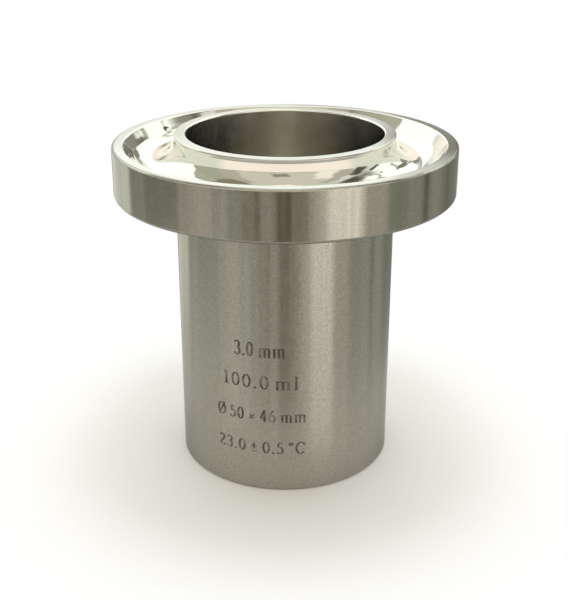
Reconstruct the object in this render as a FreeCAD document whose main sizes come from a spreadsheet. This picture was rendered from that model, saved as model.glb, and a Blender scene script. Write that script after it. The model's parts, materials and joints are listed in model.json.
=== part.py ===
# Flow cup for measuring viscosity: a turned stainless cup with an overflow gallery, and a jet.
# Frame: +Z up, origin at the centre of the foot ring, on the surface that the cup stands on.
# Sizes are millimetres and degrees.

import FreeCAD, Part
import Sketcher
import math
import os

# Each driving size is written once, here. The sheet holds them under the same names.
SIZES = [
    ("bore_dia", 50.0, "inside of the cup"),
    ("bore_depth", 46.0, "cup rim to the start of the conical floor"),
    ("cone_angle", 120.0, "full angle of the conical floor"),
    ("cup_wall", 3.0, "wall of the cup, from the bore to the outside"),
    ("floor_wall", 3.0, "thickness of the conical floor, square to it"),
    ("sleeve_wall", 3.0, "wall of the sleeve that shields the jet"),
    ("outlet_height", 8.0, "foot ring to the outlet of the jet"),
    ("gallery_dia", 87.0, "outside of the overflow gallery"),
    ("gallery_drop", 2.3, "gallery rim below the cup rim"),
    ("gallery_height", 12.6, "gallery rim to the underside of the flange"),
    ("gallery_land", 2.9, "width of the gallery rim"),
    ("gutter_depth", 4.6, "gallery rim to the lowest ring of the gutter"),
    ("gutter_flat", 0.15, "level ring between the gutter's two hollow curves"),
    ("gutter_slope", 51.5, "outer wall of the gutter, from level"),
    ("neck_lean", 15.0, "neck under the cup rim, from upright"),
    ("rim_step", 0.95, "upright side of the cup rim, above its neck"),
    ("rim_round", 0.4, "both edges of the cup rim"),
    ("land_round", 0.6, "both edges of the gallery rim"),
    ("flange_round", 0.8, "lower edge of the flange"),
    ("under_round", 0.4, "corner between the cup's side and the flange"),
    ("foot_chamfer", 0.5, "both edges of the foot ring"),
    ("sleeve_round", 1.5, "corner inside the sleeve, under the conical floor"),
    ("jet_bore_dia", 3.0, "capillary of the jet"),
    ("jet_length", 20.0, "length of the capillary"),
    ("jet_head_dia", 12.0, "head of the jet, flush with the conical floor"),
    ("jet_head_depth", 5.0, "edge of the jet's head to its shoulder"),
    ("jet_shoulder", 1.5, "width of the shoulder that stops the jet"),
    ("jet_grip", 7.5, "length of the jet's shank that the boss holds"),
    ("jet_tip_wall", 1.0, "wall of the jet at its outlet"),
    ("jet_tip_length", 2.5, "straight length of the jet at its outlet"),
    ("jet_taper", 5.0, "length of the taper from the shank to the outlet"),
    ("seat_gap", 0.05, "clearance round the jet in its seat"),
    ("boss_wall", 2.5, "wall of the boss around the jet's head"),
    ("boss_round", 1.0, "corner between the conical floor and the boss"),
    ("boss_chamfer", 0.5, "lower edge of the boss"),
]

# Places worked out from the driving sizes, as expressions that the sketches are bound to.
BORE_R = "Sizes.bore_dia / 2"
BODY_R = f"({BORE_R} + Sizes.cup_wall)"
SLEEVE_R = f"({BODY_R} - Sizes.sleeve_wall)"
GALLERY_R = "Sizes.gallery_dia / 2"
EDGE_R = f"({GALLERY_R} - Sizes.gallery_land)"
HEAD_R = "Sizes.jet_head_dia / 2"
SHANK_R = f"({HEAD_R} - Sizes.jet_shoulder)"
CAPILLARY_R = "Sizes.jet_bore_dia / 2"
TIP_R = f"({CAPILLARY_R} + Sizes.jet_tip_wall)"
SEAT_R = f"({HEAD_R} + Sizes.seat_gap)"
SOCKET_R = f"({SHANK_R} + Sizes.seat_gap)"
BOSS_R = f"({HEAD_R} + Sizes.boss_wall)"

SLOPE = "tan(Sizes.cone_angle / 2)"
OUTLET_Z = "Sizes.outlet_height"
CAPILLARY_Z = f"({OUTLET_Z} + Sizes.jet_length)"


def cone_z(radius):
    """Height of the conical floor at a radius."""
    return f"({CAPILLARY_Z} + ({radius} - {CAPILLARY_R}) / {SLOPE})"


def under_cone_z(radius):
    """Height of the floor's underside at a radius."""
    return f"({cone_z(radius)} - Sizes.floor_wall / sin(Sizes.cone_angle / 2))"


CONE_Z = cone_z(BORE_R)
RIM_Z = f"({CONE_Z} + Sizes.bore_depth)"
LAND_Z = f"({RIM_Z} - Sizes.gallery_drop)"
UNDER_Z = f"({LAND_Z} - Sizes.gallery_height)"
GUTTER_Z = f"({LAND_Z} - Sizes.gutter_depth)"
SHOULDER_Z = f"({cone_z(HEAD_R)} - Sizes.jet_head_depth)"
BOSS_Z = f"({SHOULDER_Z} - Sizes.jet_grip)"

# The gutter: its wall and its neck run down to a level floor, and two equal curves take up
# the floor but for its flat, unless the neck is too short for them.
NECK_Z = f"({RIM_Z} - Sizes.rim_step)"
FLOOR_OUT_R = f"({EDGE_R} - Sizes.gutter_depth / tan(Sizes.gutter_slope))"
FLOOR_IN_R = f"({BODY_R} + ({NECK_Z} - {GUTTER_Z}) * tan(Sizes.neck_lean))"
NECK_TURN = "tan(45 - Sizes.neck_lean / 2)"
NECK_LENGTH = f"(({NECK_Z} - {GUTTER_Z}) / cos(Sizes.neck_lean))"
FLOOR_WIDTH = f"({FLOOR_OUT_R} - {FLOOR_IN_R} - Sizes.gutter_flat)"
FILL_FLOOR = f"({FLOOR_WIDTH} / ({NECK_TURN} + tan(Sizes.gutter_slope / 2)))"
GUTTER_ROUND = f"min({FILL_FLOOR}; 0.95 * {NECK_LENGTH} / {NECK_TURN})"


def make_sheet(doc):
    """The spreadsheet of driving sizes."""
    sheet = doc.addObject("Spreadsheet::Sheet", "Sizes")
    for row, (alias, value, note) in enumerate(SIZES, start=1):
        sheet.set(f"A{row}", note)
        sheet.set(f"B{row}", str(value))
        sheet.setAlias(f"B{row}", alias)
    doc.recompute()
    return sheet


def number(sheet, expression):
    """What an expression comes to, as a plain number."""
    value = sheet.evalExpression(expression)
    return float(getattr(value, "Value", value))


def new_body(doc, name):
    """An empty body, labelled with the name of its file."""
    body = doc.addObject("PartDesign::Body", name)
    body.Label = name
    body.Placement = FreeCAD.Placement()
    return body


def upright_sketch(body, name):
    """A sketch on the body's XZ plane: its x is the radius and its y the height."""
    sketch = body.newObject("Sketcher::SketchObject", name)
    plane = next(f for f in body.Origin.OriginFeatures if f.Role == "XZ_Plane")
    sketch.AttachmentSupport = (plane, [""])
    sketch.MapMode = "FlatFace"
    return sketch


def bind(sketch, kind, *args, expression):
    """Adds a dimension to a sketch and ties it to the sheet."""
    index = sketch.addConstraint(Sketcher.Constraint(kind, *args))
    sketch.setExpression(f"Constraints[{index}]", expression)


def place_end(sketch, line, end, corner, neighbour, spot):
    """Places a sharp end of a slanted line where its neighbour line leaves it free."""
    radius, height, _ = corner
    if radius != neighbour[0]:
        bind(sketch, "DistanceX", -1, 1, line, end, spot.x, expression=radius)
    if height != neighbour[1]:
        bind(sketch, "DistanceY", -1, 1, line, end, spot.y, expression=height)


def corner_curve(spot, before, after, radius):
    """The arc of a radius that touches both lines at a corner, and whether it turns left."""
    back = (before - spot).normalize()
    ahead = (after - spot).normalize()
    half = back.getAngle(ahead) / 2
    reach = radius / math.tan(half)
    centre = spot + (back + ahead).normalize() * (radius / math.sin(half))
    middle = centre + (spot - centre).normalize() * radius
    arc = Part.Arc(spot + back * reach, middle, spot + ahead * reach)
    return arc, back.cross(ahead).z < 0


def half_section(sheet, sketch, corners):
    """Draws a closed half section.

    Each corner is (radius, height, round). Its first two are expressions, and round is one
    too where a curve joins the two lines there, tangent to both, or else None. A line
    between corners that share an expression stays upright or level and takes one
    dimension. A slanted line takes the place of its sharp ends, and keeps its slope where
    a curve joins it.
    """
    count = len(corners)
    spots = [
        FreeCAD.Vector(number(sheet, x), number(sheet, z), 0) for x, z, _ in corners
    ]
    arcs = {}
    for i, (_, _, bend) in enumerate(corners):
        if bend is not None:
            after = spots[(i + 1) % count]
            arcs[i] = corner_curve(spots[i], spots[i - 1], after, number(sheet, bend))

    lines = []
    for i in range(count):
        j = (i + 1) % count
        start = arcs[i][0].EndPoint if i in arcs else spots[i]
        end = arcs[j][0].StartPoint if j in arcs else spots[j]
        lines.append(sketch.addGeometry(Part.LineSegment(start, end), False))

    for i in range(count):
        before, after = lines[i - 1], lines[i]
        if i not in arcs:
            sketch.addConstraint(Sketcher.Constraint("Coincident", before, 2, after, 1))
            continue
        arc, turns_left = arcs[i]
        curve = sketch.addGeometry(arc, False)
        first, last = (1, 2) if turns_left else (2, 1)
        sketch.addConstraint(Sketcher.Constraint("Tangent", before, 2, curve, first))
        sketch.addConstraint(Sketcher.Constraint("Tangent", curve, last, after, 1))
        bend = corners[i][2]
        bind(sketch, "Radius", curve, number(sheet, bend), expression=bend)

    for i, line in enumerate(lines):
        j = (i + 1) % count
        (x, z, _), (next_x, next_z, _) = corners[i], corners[j]
        if x == next_x:
            sketch.addConstraint(Sketcher.Constraint("Vertical", line))
            bind(sketch, "DistanceX", -1, 1, line, 1, spots[i].x, expression=x)
        elif z == next_z == "0":
            sketch.addConstraint(Sketcher.Constraint("Horizontal", line))
            sketch.addConstraint(Sketcher.Constraint("PointOnObject", line, 1, -1))
        elif z == next_z:
            sketch.addConstraint(Sketcher.Constraint("Horizontal", line))
            bind(sketch, "DistanceY", -1, 1, line, 1, spots[i].y, expression=z)
        else:
            if i not in arcs:
                place_end(sketch, line, 1, corners[i], corners[i - 1], spots[i])
            if j not in arcs:
                after = corners[(j + 1) % count]
                place_end(sketch, line, 2, corners[j], after, spots[j])
            if i in arcs or j in arcs:
                along = spots[j] - spots[i]
                angle = math.atan2(along.y, along.x)
                slope = f"atan2({next_z} - {z}; {next_x} - {x})"
                bind(sketch, "Angle", line, angle, expression=slope)
    return sketch


def turn(body, sketch, name):
    """A solid turned from a half section about the cup's axis."""
    turned = body.newObject("PartDesign::Revolution", name)
    turned.Profile = sketch
    turned.ReferenceAxis = (sketch, ["V_Axis"])
    turned.Angle = 360.0
    body.Tip = turned
    return turned


def ring_edges(sheet, feature, places):
    """Names of the feature's round edges at the given (radius, height) expressions."""
    wanted = [(number(sheet, x), number(sheet, z)) for x, z in places]
    names = []
    for index, edge in enumerate(feature.Shape.Edges, start=1):
        if not isinstance(edge.Curve, Part.Circle):
            continue
        radius, height = edge.Curve.Radius, edge.Curve.Center.z
        if any(abs(radius - r) < 1e-3 and abs(height - h) < 1e-3 for r, h in wanted):
            names.append(f"Edge{index}")
    if len(names) != len(wanted):
        raise RuntimeError(f"{feature.Name}: {len(names)} edges found of {len(wanted)}")
    return names


def dress(body, sheet, kind, name, size, base, places):
    """A fillet or chamfer of one named size on some of the base feature's round edges."""
    body.Document.recompute()
    feature = body.newObject(f"PartDesign::{kind}", name)
    feature.Base = (base, ring_edges(sheet, base, places))
    feature.setExpression("Radius" if kind == "Fillet" else "Size", f"Sizes.{size}")
    body.Tip = feature
    return feature


def make_cup_body(doc, sheet):
    """The cup, its gallery and its sleeve: one turned piece."""
    body = new_body(doc, "cup_body")
    sleeve_top = under_cone_z(SLEEVE_R)
    corners = [
        (SLEEVE_R, "0", None),
        (BODY_R, "0", None),
        (BODY_R, UNDER_Z, None),
        (GALLERY_R, UNDER_Z, None),
        (GALLERY_R, LAND_Z, None),
        (EDGE_R, LAND_Z, None),
        (FLOOR_OUT_R, GUTTER_Z, GUTTER_ROUND),
        (FLOOR_IN_R, GUTTER_Z, GUTTER_ROUND),
        (BODY_R, NECK_Z, None),
        (BODY_R, RIM_Z, None),
        (BORE_R, RIM_Z, None),
        (BORE_R, CONE_Z, None),
        (SEAT_R, cone_z(SEAT_R), None),
        (SEAT_R, SHOULDER_Z, None),
        (SOCKET_R, SHOULDER_Z, None),
        (SOCKET_R, BOSS_Z, None),
        (BOSS_R, BOSS_Z, None),
        (BOSS_R, under_cone_z(BOSS_R), None),
        (SLEEVE_R, sleeve_top, None),
    ]
    section = half_section(sheet, upright_sketch(body, "cup_section"), corners)
    solid = turn(body, section, "turned_cup")
    work = [
        ("Fillet", "rim_edges", "rim_round", [(BORE_R, RIM_Z), (BODY_R, RIM_Z)]),
        (
            "Fillet",
            "gallery_edges",
            "land_round",
            [(EDGE_R, LAND_Z), (GALLERY_R, LAND_Z)],
        ),
        ("Fillet", "flange_edge", "flange_round", [(GALLERY_R, UNDER_Z)]),
        ("Fillet", "flange_corner", "under_round", [(BODY_R, UNDER_Z)]),
        ("Chamfer", "foot_edges", "foot_chamfer", [(SLEEVE_R, "0"), (BODY_R, "0")]),
        ("Fillet", "sleeve_corner", "sleeve_round", [(SLEEVE_R, sleeve_top)]),
        ("Fillet", "boss_corner", "boss_round", [(BOSS_R, under_cone_z(BOSS_R))]),
        ("Chamfer", "boss_edge", "boss_chamfer", [(BOSS_R, BOSS_Z)]),
    ]
    for kind, name, size, places in work:
        solid = dress(body, sheet, kind, name, size, solid, places)
    return body


def make_jet(doc, sheet):
    """The jet: a shouldered plug with the capillary along its axis."""
    body = new_body(doc, "jet")
    taper_z = f"({OUTLET_Z} + Sizes.jet_tip_length)"
    shank_z = f"({taper_z} + Sizes.jet_taper)"
    corners = [
        (CAPILLARY_R, OUTLET_Z, None),
        (TIP_R, OUTLET_Z, None),
        (TIP_R, taper_z, None),
        (SHANK_R, shank_z, None),
        (SHANK_R, SHOULDER_Z, None),
        (HEAD_R, SHOULDER_Z, None),
        (HEAD_R, cone_z(HEAD_R), None),
        (CAPILLARY_R, cone_z(CAPILLARY_R), None),
    ]
    section = half_section(sheet, upright_sketch(body, "jet_section"), corners)
    turn(body, section, "turned_jet")
    return body


def check(doc, bodies):
    """Stops if any feature failed or a body isn't one sound solid."""
    for item in doc.Objects:
        if {"Invalid", "Error"} & set(item.State):
            raise RuntimeError(f"{item.Name} failed: {item.State}")
    for body in bodies:
        shape = body.Shape
        if shape.isNull() or not shape.isValid() or len(shape.Solids) != 1:
            raise RuntimeError(f"{body.Label} isn't one sound solid")


def main():
    doc = FreeCAD.newDocument("flow_cup")
    sheet = make_sheet(doc)
    bodies = [make_cup_body(doc, sheet), make_jet(doc, sheet)]
    doc.recompute()
    check(doc, bodies)
    os.makedirs("parts", exist_ok=True)
    for body in bodies:
        body.Shape.exportStep(f"parts/{body.Label}.step")
        box = body.Shape.optimalBoundingBox(False)
        size = f"{box.XLength:.2f} x {box.YLength:.2f} x {box.ZLength:.2f} mm"
        print(f"{body.Label}: {body.Shape.Volume / 1000:.3f} ml of metal, {size}")


main()
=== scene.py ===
import json
import math

import bpy
from mathutils import Matrix, Vector


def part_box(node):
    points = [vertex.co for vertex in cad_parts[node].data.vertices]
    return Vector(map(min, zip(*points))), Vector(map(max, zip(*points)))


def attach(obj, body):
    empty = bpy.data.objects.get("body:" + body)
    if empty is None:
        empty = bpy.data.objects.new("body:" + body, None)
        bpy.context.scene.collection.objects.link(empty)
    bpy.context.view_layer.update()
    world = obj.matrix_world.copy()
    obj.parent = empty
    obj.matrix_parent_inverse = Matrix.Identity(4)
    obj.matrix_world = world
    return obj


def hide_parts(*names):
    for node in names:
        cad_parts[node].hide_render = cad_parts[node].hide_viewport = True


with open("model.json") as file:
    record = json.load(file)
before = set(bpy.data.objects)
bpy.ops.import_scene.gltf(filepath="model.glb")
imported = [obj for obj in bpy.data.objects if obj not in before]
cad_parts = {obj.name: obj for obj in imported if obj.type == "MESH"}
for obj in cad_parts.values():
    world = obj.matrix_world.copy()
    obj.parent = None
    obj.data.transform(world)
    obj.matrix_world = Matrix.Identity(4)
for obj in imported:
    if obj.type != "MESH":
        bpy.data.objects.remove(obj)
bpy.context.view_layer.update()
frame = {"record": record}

# The looks of a turned stainless flow cup. Sections are in millimetres, as (radius, height).
MM = 0.001
MOUNTS = {mount["name"]: mount for mount in frame["record"]["mounts"]}
_, CUP_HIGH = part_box("cup_body")
JET_LOW, JET_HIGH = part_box("jet")

# Sizes that the frame states.
RIM_Z = MOUNTS["rim"]["pos_m"][2] / MM
UNDER_Z = MOUNTS["flange_seat"]["pos_m"][2] / MM
BODY_R = MOUNTS["stand_ring"]["dims"]["r_mm"]
CAPILLARY_R = MOUNTS["orifice"]["dims"]["r_mm"]
CAPILLARY_LENGTH = MOUNTS["orifice"]["dims"]["length_mm"]
GALLERY_R = CUP_HIGH.x / MM
OUTLET_Z = JET_LOW.z / MM
HEAD_R = JET_HIGH.x / MM

# Sizes of the section that the frame's box doesn't give.
CUP_WALL = 3.0
SLEEVE_WALL = 3.0
FLOOR_WALL = 3.0
GALLERY_DROP = 2.3
LAND = 2.9
GUTTER_DEPTH = 4.6
GUTTER_FLAT = 0.15
GUTTER_SLOPE = math.radians(51.5)
WALL_HOLLOW = 0.12
WALL_ROUND = 28.0
NECK_LEAN = math.radians(15.0)
CONE_SLOPE = math.radians(60.0)
RIM_STEP = 0.95
RIM_ROUND = 0.4
LAND_ROUND = 0.6
FLANGE_ROUND = 0.8
UNDER_ROUND = 0.4
GROUND_FROM = 0.7
FOOT_CHAMFER = 0.5
SLEEVE_ROUND = 1.5
BOSS_WALL = 2.5
BOSS_ROUND = 1.0
BOSS_CHAMFER = 0.5
SEAT_GAP = 0.05
SHOULDER = 1.5
HEAD_DEPTH = 5.0
GRIP = 7.5
TIP_WALL = 1.0
TIP_LENGTH = 2.5
TAPER = 5.0

# Fineness of the turned meshes. Rounds larger than LARGE_ROUND get the gutter's steps.
ROUND_STEPS = 384
ARC_STEPS = 8
GUTTER_STEPS = 24
LARGE_ROUND = 2.0

BORE_R = BODY_R - CUP_WALL
SLEEVE_R = BODY_R - SLEEVE_WALL
EDGE_R = GALLERY_R - LAND
LAND_Z = RIM_Z - GALLERY_DROP
GUTTER_Z = LAND_Z - GUTTER_DEPTH
NECK_Z = RIM_Z - RIM_STEP
SHANK_R = HEAD_R - SHOULDER
TIP_R = CAPILLARY_R + TIP_WALL
SEAT_R = HEAD_R + SEAT_GAP
SOCKET_R = SHANK_R + SEAT_GAP
BOSS_R = HEAD_R + BOSS_WALL


def cone_z(radius):
    """Height of the conical floor at a radius."""
    return OUTLET_Z + CAPILLARY_LENGTH + (radius - CAPILLARY_R) / math.tan(CONE_SLOPE)


def under_cone_z(radius):
    """Height of the floor's underside at a radius."""
    return cone_z(radius) - FLOOR_WALL / math.sin(CONE_SLOPE)


SHOULDER_Z = cone_z(HEAD_R) - HEAD_DEPTH
BOSS_Z = SHOULDER_Z - GRIP


def gutter_round(inner, outer):
    """Radius of the gutter's two equal curves, which take up its floor but for the flat."""
    neck_turn = math.tan(math.radians(45.0) - NECK_LEAN / 2)
    return (outer - inner - GUTTER_FLAT) / (neck_turn + math.tan(GUTTER_SLOPE / 2))


def placed(name, data):
    """A new object of the scene."""
    made = bpy.data.objects.new(name, data)
    bpy.context.scene.collection.objects.link(made)
    return made


# Sections. A corner is (radius, height, cut, finish): a positive cut is the radius of its
# round, a negative one the leg of its chamfer, and the finish is that of the side that
# starts there, the cut included.
def cup_corners():
    outer = EDGE_R - GUTTER_DEPTH / math.tan(GUTTER_SLOPE)
    inner = BODY_R + (NECK_Z - GUTTER_Z) * math.tan(NECK_LEAN)
    hollow = gutter_round(inner, outer)
    wall = (
        (EDGE_R + outer) / 2 + WALL_HOLLOW * math.sin(GUTTER_SLOPE),
        (LAND_Z + GUTTER_Z) / 2 - WALL_HOLLOW * math.cos(GUTTER_SLOPE),
    )
    return [
        (SLEEVE_R, 0.0, -FOOT_CHAMFER, "faced"),
        (BODY_R, 0.0, -FOOT_CHAMFER, "body"),
        (BODY_R, UNDER_Z, UNDER_ROUND, "faced"),
        (GALLERY_R, UNDER_Z, FLANGE_ROUND, "flange"),
        (GALLERY_R, LAND_Z, LAND_ROUND, "flange"),
        (GALLERY_R - GROUND_FROM, LAND_Z, 0.0, "rim"),
        (EDGE_R, LAND_Z, LAND_ROUND, "mirror"),
        (*wall, WALL_ROUND, "mirror"),
        (outer, GUTTER_Z, hollow, "mirror"),
        (inner, GUTTER_Z, hollow, "mirror"),
        (BODY_R, NECK_Z, 0.0, "mirror"),
        (BODY_R, RIM_Z, RIM_ROUND, "rim"),
        (BORE_R, RIM_Z, RIM_ROUND, "bore"),
        (BORE_R, cone_z(BORE_R), 0.0, "cone"),
        (SEAT_R, cone_z(SEAT_R), 0.0, "faced"),
        (SEAT_R, SHOULDER_Z, 0.0, "faced"),
        (SOCKET_R, SHOULDER_Z, 0.0, "faced"),
        (SOCKET_R, BOSS_Z, 0.0, "faced"),
        (BOSS_R, BOSS_Z, -BOSS_CHAMFER, "faced"),
        (BOSS_R, under_cone_z(BOSS_R), BOSS_ROUND, "faced"),
        (SLEEVE_R, under_cone_z(SLEEVE_R), SLEEVE_ROUND, "faced"),
    ]


def jet_corners():
    taper_z = OUTLET_Z + TIP_LENGTH
    return [
        (CAPILLARY_R, OUTLET_Z, 0.0, "jet"),
        (TIP_R, OUTLET_Z, 0.0, "jet"),
        (TIP_R, taper_z, 0.0, "jet"),
        (SHANK_R, taper_z + TAPER, 0.0, "jet"),
        (SHANK_R, SHOULDER_Z, 0.0, "jet"),
        (HEAD_R, SHOULDER_Z, 0.0, "jet"),
        (HEAD_R, cone_z(HEAD_R), 0.0, "jet"),
        (CAPILLARY_R, cone_z(CAPILLARY_R), 0.0, "jet"),
    ]


def turned(vector, angle):
    return Matrix.Rotation(angle, 2) @ vector


def outward(direction):
    return Vector((direction.y, -direction.x))


def section_steps(corners):
    """The closed section as steps (start, start normal, end, end normal, finish)."""
    count = len(corners)
    spots = [Vector(corner[:2]) for corner in corners]
    ways = [(spots[(i + 1) % count] - spots[i]).normalized() for i in range(count)]
    joints = []
    for i, (_, _, cut, _) in enumerate(corners):
        before, after = ways[i - 1], ways[i]
        turn = math.atan2(before.cross(after), before.dot(after))
        reach = cut * math.tan(abs(turn) / 2) if cut > 0 else -cut
        start, end = spots[i] - before * reach, spots[i] + after * reach
        joints.append((start, end, turn))
    steps = []
    for i, (_, _, cut, finish) in enumerate(corners):
        start, end, turn = joints[i]
        if cut > 0:
            fine = GUTTER_STEPS if cut > LARGE_ROUND else ARC_STEPS
            steps += arc_steps(start, outward(ways[i - 1]), cut, turn, fine, finish)
        elif cut < 0:
            flat = outward((end - start).normalized())
            steps.append((start, flat, end, flat, finish))
        flat = outward(ways[i])
        steps.append((end, flat, joints[(i + 1) % count][0], flat, finish))
    return steps


def arc_steps(start, normal, radius, turn, count, finish):
    """Steps of an arc that leaves start square to the normal and turns by an angle."""
    side = math.copysign(radius, turn)
    centre = start - normal * side
    steps = []
    for k in range(count):
        n0 = turned(normal, turn * k / count)
        n1 = turned(normal, turn * (k + 1) / count)
        steps.append((centre + n0 * side, n0, centre + n1 * side, n1, finish))
    return steps


def lathe(name, corners, finishes):
    """A mesh turned from a section about Z, with the section's exact normals."""
    steps = section_steps(corners)
    rings = len(steps)
    turns = [
        (math.cos(2 * math.pi * k / ROUND_STEPS), math.sin(2 * math.pi * k / ROUND_STEPS))
        for k in range(ROUND_STEPS)
    ]
    points = [
        (start.x * c * MM, start.x * s * MM, start.y * MM)
        for start, _, _, _, _ in steps
        for c, s in turns
    ]
    faces, normals, zones = [], [], []
    slots = list(finishes)
    for i, (_, n0, _, n1, finish) in enumerate(steps):
        above = (i + 1) % rings
        for k in range(ROUND_STEPS):
            j = (k + 1) % ROUND_STEPS
            faces.append(
                (
                    i * ROUND_STEPS + k,
                    i * ROUND_STEPS + j,
                    above * ROUND_STEPS + j,
                    above * ROUND_STEPS + k,
                )
            )
            zones.append(slots.index(finish))
            for n, (c, s) in ((n0, turns[k]), (n0, turns[j]), (n1, turns[j]), (n1, turns[k])):
                normals.append((n.x * c, n.x * s, n.y))
    mesh = bpy.data.meshes.new(name)
    mesh.from_pydata(points, [], faces)
    for finish in slots:
        mesh.materials.append(finishes[finish])
    mesh.polygons.foreach_set("material_index", zones)
    mesh.polygons.foreach_set("use_smooth", [True] * len(faces))
    mesh.normals_split_custom_set(normals)
    mesh.update()
    return placed(name, mesh)


# Node helpers. The numbers are places among a Mix node's colour inputs and outputs.
MIX_FACTOR = 0
MIX_FIRST = 6
MIX_SECOND = 7
MIX_RESULT = 2


def wire(tree, socket, value):
    if isinstance(value, bpy.types.NodeSocket):
        tree.links.new(value, socket)
    else:
        socket.default_value = value


def node(tree, kind, inputs=None, **settings):
    made = tree.nodes.new("ShaderNode" + kind)
    for name, value in settings.items():
        setattr(made, name, value)
    for name, value in (inputs or {}).items():
        wire(tree, made.inputs[name], value)
    return made


def maths(tree, operation, *values):
    made = node(tree, "Math", operation=operation)
    for socket, value in zip(made.inputs, values):
        wire(tree, socket, value)
    return made.outputs[0]


def ramp(tree, value, low, high, start=0.0, end=1.0):
    """A smooth step of a value between two limits."""
    made = node(tree, "MapRange", interpolation_type="SMOOTHSTEP")
    for socket, number in zip(made.inputs, (value, low, high, start, end)):
        wire(tree, socket, number)
    return made.outputs[0]


def mixed(tree, factor, first, second):
    """The second colour over the first, by a factor."""
    made = node(tree, "Mix", data_type="RGBA")
    for index, value in ((MIX_FACTOR, factor), (MIX_FIRST, first), (MIX_SECOND, second)):
        wire(tree, made.inputs[index], value)
    return made.outputs[MIX_RESULT]


def rgba(colour):
    return (*colour, 1.0)


def new_material(name):
    """A new material with its nodes and its shader."""
    made = bpy.data.materials.new(name)
    made.use_nodes = True
    return made, made.node_tree, made.node_tree.nodes["Principled BSDF"]


# How the steel varies. Scales along a section are per millimetre, those about the axis per
# radius, and the sizes of grains, blots and patches are in millimetres.
AROUND_SCALE = 3.0
LINE_SCALE = 30.0
WAVE_SCALE = 0.5
WAVE_DETAIL = 2.0
STREAK_SCALE = 2.2
STREAK_AROUND = 5.0
GRAIN_SIZE = 0.12
GRAIN_DETAIL = 3.0
BLOT_SIZE = 0.5
PATCH_SIZE = 3.0
NOISE_LOW = 0.3
NOISE_HIGH = 0.7
ROUGH_SPREAD = 0.08
TURNED_WAY = 0.25
# Painted shade on steel that faces down: the height of the normal where it starts and where it is
# full.
SHADE_DOWN_FROM = -0.35
SHADE_DOWN_FULL = -0.9


def polar_noise(tree, across, around, detail=WAVE_DETAIL):
    """Noise along a turned surface: across gives its scale along the section, per
    millimetre, and around its scale about the axis."""
    place = node(tree, "TexCoord").outputs["Object"]
    parts = node(tree, "SeparateXYZ", {"Vector": place})
    x, y, z = parts.outputs
    square = maths(tree, "ADD", maths(tree, "MULTIPLY", x, x), maths(tree, "MULTIPLY", y, y))
    radius = maths(tree, "SQRT", square)
    vector = node(
        tree,
        "CombineXYZ",
        {
            "X": maths(tree, "MULTIPLY", radius, across / MM),
            "Y": maths(tree, "MULTIPLY", z, across / MM),
            "Z": maths(tree, "MULTIPLY", maths(tree, "DIVIDE", x, radius), around),
        },
    )
    settings = {
        "Vector": vector.outputs[0],
        "W": maths(tree, "MULTIPLY", maths(tree, "DIVIDE", y, radius), around),
        "Scale": 1.0,
        "Detail": detail,
    }
    return node(tree, "TexNoise", settings, noise_dimensions="4D").outputs[0]


def grain_noise(tree, size):
    """Even noise with cells of about a size in millimetres."""
    place = node(tree, "TexCoord").outputs["Object"]
    settings = {"Vector": place, "Scale": 1.0 / (size * MM), "Detail": GRAIN_DETAIL}
    return node(tree, "TexNoise", settings).outputs[0]


def steel(
    name,
    colour,
    roughness,
    anisotropy=0.0,
    lines=0.0,
    grain=0.0,
    wave=0.0,
    tint=0.0,
    edge=1.0,
    under=1.0,
):
    """Turned steel. Lines are its turning marks, grain its fine sandy look and wave a slow
    unevenness, all three as heights in micrometres. Tint is how far its colour varies,
    edge is the share mirrored aslant, and under the share of its colour left where it
    faces down, which is painted shade."""
    made, tree, shader = new_material(name)
    shader.inputs["Metallic"].default_value = 1.0
    shader.inputs["Anisotropic"].default_value = anisotropy
    shader.inputs["Anisotropic Rotation"].default_value = TURNED_WAY
    if anisotropy:
        tangent = node(tree, "Tangent", direction_type="RADIAL", axis="Z")
        wire(tree, shader.inputs["Tangent"], tangent.outputs[0])
    shader.inputs["Specular Tint"].default_value = (edge, edge, edge, 1.0)
    if lines:
        blots = polar_noise(tree, STREAK_SCALE, STREAK_AROUND)
    else:
        blots = grain_noise(tree, BLOT_SIZE)
    dark = [channel * (1.0 - tint) for channel in colour]
    light = [min(1.0, channel * (1.0 + tint)) for channel in colour]
    shade = mixed(tree, ramp(tree, blots, NOISE_LOW, NOISE_HIGH), rgba(dark), rgba(light))
    # Painted shade: the colour darkens on faces that look down, as if shade fell under them.
    if under < 1.0:
        facing = node(tree, "NewGeometry").outputs["Normal"]
        down = node(tree, "SeparateXYZ", {"Vector": facing}).outputs[2]
        painted_shade_colour = [channel * under for channel in colour]
        shade = mixed(tree, ramp(tree, down, SHADE_DOWN_FROM, SHADE_DOWN_FULL), shade, rgba(painted_shade_colour))
    wire(tree, shader.inputs["Base Color"], shade)
    patches = grain_noise(tree, PATCH_SIZE)
    smooth = roughness * (1.0 - ROUGH_SPREAD)
    coarse = roughness * (1.0 + ROUGH_SPREAD)
    rough = ramp(tree, patches, NOISE_LOW, NOISE_HIGH, smooth, coarse)
    wire(tree, shader.inputs["Roughness"], rough)
    normal = None
    for pattern, scales, depth in (
        (polar_noise, (LINE_SCALE, AROUND_SCALE, 0.0), lines),
        (grain_noise, (GRAIN_SIZE,), grain),
        (polar_noise, (WAVE_SCALE, AROUND_SCALE), wave),
    ):
        if depth:
            height = pattern(tree, *scales)
            bump = node(tree, "Bump", {"Height": height, "Distance": depth * MM * MM})
            if normal:
                wire(tree, bump.inputs["Normal"], normal)
            normal = bump.outputs[0]
    if normal:
        wire(tree, shader.inputs["Normal"], normal)
    return made


# Etched marks: their two shades, and where the one wears into the other.
MARK_DARK = (0.075, 0.07, 0.055)
MARK_WORN = (0.22, 0.21, 0.175)
MARK_METAL = 0.4
MARK_ROUGHNESS = 0.6
WEAR_SIZE = 2.5
WEAR_LOW = 0.42
WEAR_HIGH = 0.68


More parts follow.
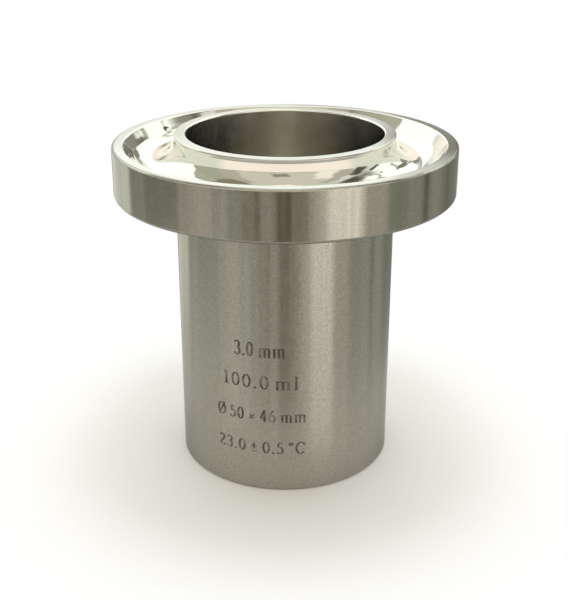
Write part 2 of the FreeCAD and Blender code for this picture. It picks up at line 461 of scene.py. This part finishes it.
def etched(name):
    """Dark etched marks, worn paler in places."""
    made, tree, shader = new_material(name)
    shader.inputs["Metallic"].default_value = MARK_METAL
    shader.inputs["Roughness"].default_value = MARK_ROUGHNESS
    wear = ramp(tree, grain_noise(tree, WEAR_SIZE), WEAR_LOW, WEAR_HIGH)
    shade = mixed(tree, wear, rgba(MARK_DARK), rgba(MARK_WORN))
    wire(tree, shader.inputs["Base Color"], shade)
    return made


# Colours, and the finish of each part of a section: name, colour, roughness, anisotropy.
SATIN = (0.382, 0.373, 0.332)
# The bore's and cone's colour is a lighter copy of the satin steel: painted light that brightens
# the cup's shaded inside.
LIT_INSIDE_STEEL = (0.68, 0.67, 0.61)
POLISHED = (0.60, 0.595, 0.536)
GROUND = (0.473, 0.468, 0.423)
JET_STEEL = (0.48, 0.475, 0.44)

FINISHES = {
    "body": steel("satin_body", SATIN, 0.20, 1.0, grain=0.6, tint=0.10, edge=0.65),
    # The flange's colour darkens to painted shade on its faces that look down.
    "flange": steel("satin_flange", SATIN, 0.14, 1.0, grain=0.1, tint=0.07, edge=0.65, under=0.3),
    "faced": steel("faced_steel", SATIN, 0.38, 0.7, lines=4.0, grain=1.0, tint=0.05),
    "mirror": steel("mirror_steel", POLISHED, 0.045, lines=0.01, tint=0.02, wave=0.15),
    "rim": steel("ground_rim", GROUND, 0.09, 1.0, lines=0.02, tint=0.03),
    "bore": steel("satin_bore", LIT_INSIDE_STEEL, 0.14, 1.0, grain=0.1, tint=0.03),
    "cone": steel("satin_cone", LIT_INSIDE_STEEL, 0.30, 0.8, lines=3.0, grain=0.6, tint=0.05),
}
JET_FINISHES = {
    "jet": steel("turned_jet", JET_STEEL, 0.22, 0.6, lines=2.0, grain=0.4, tint=0.05),
}

cup = lathe("turned_cup", cup_corners(), FINISHES)
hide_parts("cup_body")
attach(cup, "root")

jet = lathe("turned_jet", jet_corners(), JET_FINISHES)
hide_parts("jet")
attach(jet, "root")

# Generic marks, etched on the front of the cup: text, height of its middle on the cup,
# height of a capital, and the stretch of letters and the space between them as shares of it.
MARK_ROWS = [
    ("3.0 mm", 39.6, 3.8, 0.9, 0.125),
    ("100.0 ml", 30.8, 3.5, 1.25, 0.22),
    ("Ø 50 × 46 mm", 21.5, 3.3, 1.0, 0.16),
    ("23.0 ± 0.5 °C", 12.5, 3.25, 1.12, 0.165),
]
# Strokes that cross stand up by slightly different heights, so that no two faces coincide.
# Lifts and depth are in millimetres, the pen's widths and the space in heights of a capital.
MARK_ANGLE = math.radians(-13.3)
MARK_LIFT = 0.012
MARK_DEPTH = 0.1
STROKE_LIFT = 0.0005
STROKE_LAYERS = 8
STROKE_CORNERS = 4
PEN_WIDE = 0.17
PEN_THIN = 0.075
LINE_STEPS = 4
CURVE_STEP = math.radians(15.0)
SPACE = 0.26

# Letters as a width and strokes, in heights of a capital. Four numbers are a line from a
# point to another; six are an arc: its centre, its two radii, and its angles in degrees.
LETTERS = {
    "0": (0.50, [(0.25, 0.50, 0.20, 0.48, 0, 360)]),
    "1": (0.40, [(0.22, 0.0, 0.22, 1.0), (0.07, 0.83, 0.22, 0.97), (0.08, 0.02, 0.36, 0.02)]),
    "2": (
        0.50,
        [
            (0.24, 0.73, 0.18, 0.24, 165, -25),
            (0.40, 0.63, 0.06, 0.05),
            (0.05, 0.03, 0.46, 0.03),
            (0.46, 0.03, 0.48, 0.16),
        ],
    ),
    "3": (0.48, [(0.22, 0.76, 0.17, 0.22, 160, -85), (0.21, 0.28, 0.21, 0.27, 80, -155)]),
    "4": (0.50, [(0.33, 0.98, 0.03, 0.30), (0.03, 0.30, 0.48, 0.30), (0.34, 1.0, 0.34, 0.0)]),
    "5": (
        0.48,
        [
            (0.13, 0.96, 0.43, 0.96),
            (0.13, 0.96, 0.10, 0.57),
            (0.20, 0.31, 0.22, 0.29, 115, -150),
        ],
    ),
    "6": (0.50, [(0.25, 0.31, 0.19, 0.29, 0, 360), (0.47, 0.35, 0.40, 0.65, 100, 180)]),
    "m": (
        0.88,
        [
            (0.12, 0.0, 0.12, 0.64),
            (0.44, 0.0, 0.44, 0.50),
            (0.76, 0.0, 0.76, 0.50),
            (0.28, 0.50, 0.16, 0.14, 180, 0),
            (0.60, 0.50, 0.16, 0.14, 180, 0),
            (0.03, 0.62, 0.12, 0.64),
            (0.03, 0.02, 0.21, 0.02),
            (0.35, 0.02, 0.53, 0.02),
            (0.67, 0.02, 0.85, 0.02),
        ],
    ),
    "l": (0.28, [(0.14, 0.0, 0.14, 1.04), (0.04, 0.02, 0.24, 0.02), (0.05, 1.0, 0.14, 1.03)]),
    "C": (0.66, [(0.37, 0.50, 0.31, 0.49, 48, 315), (0.60, 0.70, 0.61, 0.98)]),
    "Ø": (0.72, [(0.36, 0.50, 0.30, 0.49, 0, 360), (0.10, -0.04, 0.62, 1.04)]),
    "×": (0.50, [(0.08, 0.14, 0.42, 0.54), (0.08, 0.54, 0.42, 0.14)]),
    "±": (0.50, [(0.25, 0.26, 0.25, 0.80), (0.03, 0.53, 0.47, 0.53), (0.03, 0.08, 0.47, 0.08)]),
    "°": (0.30, [(0.14, 0.84, 0.10, 0.13, 0, 360)]),
    ".": (0.20, [(0.10, 0.05, 0.02, 0.03, 0, 360)]),
}


def stroke_path(stroke):
    """Points along a stroke."""
    if len(stroke) == 4:
        start, end = Vector(stroke[:2]), Vector(stroke[2:])
        return [start.lerp(end, k / LINE_STEPS) for k in range(LINE_STEPS + 1)]
    x, y, wide, tall, first, last = stroke
    first, last = math.radians(first), math.radians(last)
    count = math.ceil(abs(last - first) / CURVE_STEP)
    angles = [first + (last - first) * k / count for k in range(count + 1)]
    return [Vector((x + wide * math.cos(a), y + tall * math.sin(a))) for a in angles]


def pen_edges(path):
    """Both edges of a broad pen's stroke, thick where it runs upright and thin across."""
    edges = []
    for i, point in enumerate(path):
        way = (path[min(i + 1, len(path) - 1)] - path[max(i - 1, 0)]).normalized()
        half = math.hypot(PEN_WIDE * way.y, PEN_THIN * way.x) / 2
        aside = Vector((-way.y, way.x)) * half
        edges.append((point + aside, point - aside))
    return edges


def row_strokes(text, wide, gap):
    """The strokes of a row of text, as paths centred on the row's middle."""
    paths, pen = [], 0.0
    for letter in text:
        if letter == " ":
            pen += SPACE
            continue
        width, strokes = LETTERS[letter]
        for stroke in strokes:
            paths.append([Vector((pen + p.x * wide, p.y - 0.5)) for p in stroke_path(stroke)])
        pen += width * wide + gap
    shift = Vector((-(pen - gap) / 2, 0.0))
    return [[p + shift for p in path] for path in paths]


def wrapped_marks(name, rows):
    """All rows as thin solid strokes let into the cup's side."""
    points, faces = [], []
    count = 0
    for text, height, tall, wide, gap in rows:
        for path in row_strokes(text, wide, gap):
            first = len(points)
            lift = MARK_LIFT + STROKE_LIFT * (count % STROKE_LAYERS)
            count += 1
            for edge in pen_edges(path):
                for spot in edge:
                    around = MARK_ANGLE + spot.x * tall / BODY_R
                    for radius in (BODY_R + lift, BODY_R - MARK_DEPTH):
                        x, y = radius * math.sin(around), -radius * math.cos(around)
                        points.append((x * MM, y * MM, (height + spot.y * tall) * MM))
            last = len(path) - 1
            for k in range(last):
                a = first + STROKE_CORNERS * k
                b = a + STROKE_CORNERS
                faces += [
                    (a, b, b + 2, a + 2),
                    (a + 1, a + 3, b + 3, b + 1),
                    (a, a + 1, b + 1, b),
                    (a + 2, b + 2, b + 3, a + 3),
                ]
            end = first + STROKE_CORNERS * last
            faces += [(first, first + 2, first + 3, first + 1), (end, end + 1, end + 3, end + 2)]
    mesh = bpy.data.meshes.new(name)
    mesh.from_pydata(points, [], faces)
    mesh.materials.append(etched("etched_marks"))
    return placed(name, mesh)


marks = wrapped_marks("etched_marks", MARK_ROWS)
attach(marks, "root")

# The floor, in metres: a round pale sheet that fades into the backdrop from one distance to
# another, and has a little glow, as seen, that grows towards its edge. The weaker glow near
# the foot is painted shade, a darker pool round the cup that deepens its shadow.
FLOOR_R = 0.095
FLOOR_STEPS = 96
FLOOR_COLOUR = (0.88, 0.88, 0.88)
FADE_FROM = 0.045
FADE_END = 0.090
FOOT_GLOW = 0.04
FLOOR_GLOW = 0.20
DROP_R = 0.004


def pale_floor():
    turns = [2 * math.pi * k / FLOOR_STEPS for k in range(FLOOR_STEPS)]
    corners = [(FLOOR_R * math.cos(a), FLOOR_R * math.sin(a), 0.0) for a in turns]
    mesh = bpy.data.meshes.new("floor")
    mesh.from_pydata(corners, [], [range(FLOOR_STEPS)])
    paper, tree, shader = new_material("pale_paper")
    wire(tree, shader.inputs["Base Color"], rgba(FLOOR_COLOUR))
    wire(tree, shader.inputs["Roughness"], 1.0)
    wire(tree, shader.inputs["Specular IOR Level"], 0.0)
    place = node(tree, "TexCoord").outputs["Object"]
    away = node(tree, "VectorMath", {"Vector": place}, operation="LENGTH").outputs["Value"]
    path = node(tree, "LightPath").outputs
    seen = maths(tree, "ADD", path["Is Camera Ray"], path["Is Glossy Ray"])
    seen = maths(tree, "ADD", seen, path["Is Transmission Ray"])
    glow = ramp(tree, away, FADE_FROM, FADE_END, FOOT_GLOW, FLOOR_GLOW)
    wire(tree, shader.inputs["Emission Color"], rgba((1.0, 1.0, 1.0)))
    wire(tree, shader.inputs["Emission Strength"], maths(tree, "MULTIPLY", seen, glow))
    # It is clear from below, towards its edge and inside the sleeve, but for a spot under
    # the jet.
    under = node(tree, "NewGeometry").outputs["Backfacing"]
    clear = maths(tree, "MAXIMUM", under, ramp(tree, away, FADE_FROM, FADE_END))
    inside = (DROP_R + SLEEVE_R * MM) / 2
    hollow = maths(tree, "COMPARE", away, inside, inside - DROP_R)
    clear = maths(tree, "MAXIMUM", clear, hollow)
    cover = node(tree, "MixShader")
    wire(tree, cover.inputs[0], clear)
    wire(tree, cover.inputs[1], shader.outputs[0])
    wire(tree, cover.inputs[2], node(tree, "BsdfTransparent").outputs[0])
    wire(tree, tree.nodes["Material Output"].inputs["Surface"], cover.outputs[0])
    mesh.materials.append(paper)
    return placed("floor", mesh)


pale_floor()

# The studio's cards, each over those before it: its name, where it runs from and to about
# the axis, its lowest and highest edge, the softness of its edges and its tilt, all in
# degrees, and its tone. Azimuth 0 is the front, and 90 the right side.
BACKDROP = (1.0, 1.0, 1.0)
WINDOW = (1.60, 1.64, 1.58)
WARM = (1.40, 1.27, 1.15)
GREEN = (1.04, 1.06, 0.94)
BEIGE = (0.88, 0.83, 0.72)
CARDS = [
    ("ceiling", (-180, 180), (60, 100), 4, 0, (0.80, 0.83, 0.72)),
    ("ceiling_light", (-180, 180), (78, 100), 3, 0, (1.70, 1.60, 1.45)),
    ("room", (-180, 180), (-25, 0), 3, 0, (0.4, 0.4, 0.35)),
    ("low_glow", (-180, 180), (-2, 14), 1, 0, GREEN),
    ("back_window", (103, 257), (14, 48), 1, 0, WINDOW),
    ("back_pink", (150, 205), (32, 47), 3, 0, (1.9, 1.78, 1.7)),
    ("back_low_pink", (186, 205), (1, 11), 2, 0, (1.3, 1.18, 1.1)),
    ("back_bar", (138, 162), (14, 20.5), 1, -40, (0.26, 0.26, 0.22)),
    ("back_low_mid", (170, 180), (3, 12), 1.5, 0, (0.42, 0.41, 0.36)),
    ("back_low_dark", (146, 174), (1, 13.2), 1, 0, (0.34, 0.33, 0.29)),
    ("back_low_end", (164, 174), (8, 15.5), 1, 0, (0.32, 0.31, 0.27)),
    ("back_streak", (153, 167), (9.4, 11.0), 0.7, -40, (1.0, 0.93, 0.87)),
    ("low_front", (-66, 68), (4, 20), 8, 0, WARM),
    ("front_wall", (-102, 72), (16, 66), 1, 0, (0.66, 0.61, 0.52)),
    ("front_bright", (-48, 54), (18, 74), 4, 0, BEIGE),
    ("left_wall", (-101, -70), (15, 52), 1, 0, (0.56, 0.57, 0.46)),
    ("left_corner", (-125, -97), (36, 52), 1, -32, (0.60, 0.61, 0.50)),
    ("left_top", (-120, -66), (52, 68), 3, 0, (0.34, 0.31, 0.22)),
    ("left_window", (-160, -121), (-25, 0), 2, 0, (1.20, 1.22, 1.10)),
    ("left_dark", (-103, -71), (-22, -2), 1, 0, (0.25, 0.25, 0.2)),
    ("left_pale", (-70, -47), (-25, -1), 1, 0, (0.58, 0.53, 0.47)),
    ("left_edge", (-72, -62), (-25, -1), 1, 0, (0.46, 0.43, 0.37)),
    ("left_line", (-41, -38), (-25, 0), 1, 0, (0.50, 0.48, 0.41)),
    ("front_brown", (-28, 15), (-25, 0), 1, 0, (0.35, 0.29, 0.22)),
    ("front_line", (-19, -16), (-25, 0), 1, 0, (0.2, 0.17, 0.13)),
    ("front_green", (-15, -7), (-25, 0), 1, 0, (0.40, 0.39, 0.33)),
    ("camera", (-5, 4), (-25, 0), 1, 0, (0.15, 0.11, 0.08)),
    ("camera_gap", (-2, 0), (-25, 0), 1, 0, (0.25, 0.20, 0.15)),
    ("right_room", (70, 86), (-25, 0), 1, 0, (0.34, 0.35, 0.28)),
    ("right_pale", (110, 122), (-25, 0), 2, 0, (0.47, 0.47, 0.40)),
    ("right_shade", (128, 137), (-25, 0), 2, 0, (0.32, 0.32, 0.26)),
    ("front_shadow", (-14, 3), (24, 36), 2, 0, (0.4, 0.37, 0.3)),
    ("right_glow", (15, 60), (-25, 0), 1, 0, (0.62, 0.55, 0.47)),
    ("window_glow", (21, 40), (-25, 4), 5, 0, (0.90, 0.81, 0.72)),
    ("right_window", (27, 51), (-25, 4), 4, 0, (1.55, 1.43, 1.3)),
    ("right_window_top", (32, 54), (16, 48), 3, 0, (1.3, 1.22, 1.1)),
    ("right_side", (54, 69), (-25, -1), 1, 0, (0.62, 0.57, 0.48)),
    ("right_dark", (73, 88), (14, 40), 3, 8, (0.14, 0.13, 0.09)),
    ("right_wall", (88, 109), (30, 60), 7, 10, (0.38, 0.37, 0.31)),
    ("right_wall_top", (86, 120), (47, 61), 5, 10, (0.13, 0.13, 0.08)),
    ("window_post", (101, 106), (-25, -2), 1, 0, (0.16, 0.17, 0.13)),
    ("spot", (99, 105), (14, 27), 1, 20, (0.2, 0.2, 0.15)),
    ("spot_high", (118, 124), (33, 36), 1, 0, (0.04, 0.04, 0.03)),
    ("back_smear", (108, 158), (39, 42), 3, 0, (0.40, 0.41, 0.32)),
    ("back_grey", (126, 142), (17, 22), 2, 20, (0.6, 0.61, 0.53)),
    ("low_room", (-180, 180), (-35, -25), 3, 0, (0.64, 0.63, 0.56)),
    ("low_dark", (-8, 10), (-35, -25), 3, 0, (0.30, 0.26, 0.20)),
    ("low_left", (-128, -38), (-31, -21.5), 2, 0, (0.88, 0.87, 0.78)),
    ("table", (-180, 180), (-100, -34), 4, 0, (0.50, 0.50, 0.45)),
]
# High cards are a little bent, by so many degrees, from one elevation up to another. Low
# ones are uneven from side to side, by a share, from one elevation down to another.
BEND = 14.0
BEND_SCALE = 5.0
BEND_FROM = 13.0
BEND_FULL = 24.0
ROOM_LIGHT = 1.1
UNEVEN = 0.5
UNEVEN_STEP = 3.0
UNEVEN_FROM = 0.0
UNEVEN_FULL = -4.0
ROOM_DETAIL = 2.0


def reach(tree, off, span, soft):
    """How far a card covers: 1 within half its span of its middle, 0 outside it, and soft
    between."""
    half = (span[1] - span[0]) / 2
    return ramp(tree, maths(tree, "ABSOLUTE", off), half + soft, half - soft)


def along(tree, first, second, angle):
    """The first distance of a pair, after its axes are turned by an angle."""
    if not angle:
        return first
    here = maths(tree, "MULTIPLY", first, math.cos(angle))
    return maths(tree, "ADD", here, maths(tree, "MULTIPLY", second, math.sin(angle)))


def studio():
    world = bpy.data.worlds.new("studio")
    world.use_nodes = True
    tree = world.node_tree
    place = node(tree, "TexCoord").outputs["Generated"]
    x, y, z = node(tree, "SeparateXYZ", {"Vector": place}).outputs
    azimuth = maths(tree, "DEGREES", maths(tree, "ARCTAN2", x, maths(tree, "MULTIPLY", y, -1.0)))
    elevation = maths(tree, "DEGREES", maths(tree, "ARCSINE", z))
    bend = ramp(tree, elevation, BEND_FROM, BEND_FULL, 0.0, BEND)
    blur = {"Vector": place, "Scale": BEND_SCALE, "Detail": ROOM_DETAIL}
    noise = node(tree, "TexNoise", blur)
    parts = node(tree, "SeparateXYZ", {"Vector": noise.outputs["Color"]})
    shifts = [
        maths(tree, "MULTIPLY", maths(tree, "SUBTRACT", part, 0.5), bend)
        for part in parts.outputs
    ]
    azimuth = maths(tree, "ADD", azimuth, shifts[0])
    elevation = maths(tree, "ADD", elevation, shifts[1])
    colour = rgba(BACKDROP)
    for _, turn, rise, soft, tilt, tone in CARDS:
        off = maths(tree, "SUBTRACT", azimuth, sum(turn) / 2)
        off = maths(tree, "WRAP", off, 180.0, -180.0)
        up = maths(tree, "SUBTRACT", elevation, sum(rise) / 2)
        aside = reach(tree, along(tree, off, up, math.radians(tilt)), turn, soft)
        above = reach(tree, along(tree, up, off, -math.radians(tilt)), rise, soft)
        colour = mixed(tree, maths(tree, "MULTIPLY", aside, above), colour, rgba(tone))
    step = maths(tree, "DIVIDE", azimuth, UNEVEN_STEP)
    fine = {"W": step, "Scale": 1.0, "Detail": ROOM_DETAIL}
    bands = node(tree, "TexNoise", fine, noise_dimensions="1D").outputs[0]
    share = ramp(tree, elevation, UNEVEN_FROM, UNEVEN_FULL, 0.0, UNEVEN)
    share = maths(tree, "MULTIPLY", maths(tree, "SUBTRACT", bands, 0.5), share)
    scale = node(tree, "VectorMath", {"Vector": colour}, operation="SCALE")
    wire(tree, scale.inputs["Scale"], maths(tree, "ADD", share, ROOM_LIGHT))
    colour = scale.outputs["Vector"]
    # The camera sees the plain backdrop. Metal sees it too, with the cards before it.
    seen = node(tree, "LightPath").outputs["Is Camera Ray"]
    colour = mixed(tree, seen, colour, rgba(BACKDROP))
    wire(tree, tree.nodes["Background"].inputs["Color"], colour)
    bpy.context.scene.world = world


studio()

# The camera, at the photograph's angle.
CAMERA_PLACE = (0.0, -0.25191, 0.14786)
CAMERA_PITCH = math.radians(21.23)
CAMERA_LENS = 61.152
CAMERA_SENSOR = 36.0
CAMERA_SHIFT = (-0.00182, -0.04987)
CAMERA_NEAR = 0.01

lens = bpy.data.cameras.new("camera")
lens.lens = CAMERA_LENS
lens.sensor_width = CAMERA_SENSOR
lens.shift_x, lens.shift_y = CAMERA_SHIFT
lens.clip_start = CAMERA_NEAR
camera = placed("camera", lens)
camera.location = CAMERA_PLACE
camera.rotation_euler = (math.pi / 2 - CAMERA_PITCH, 0.0, 0.0)
bpy.context.scene.camera = camera

bpy.context.scene.view_settings.view_transform = "Standard"
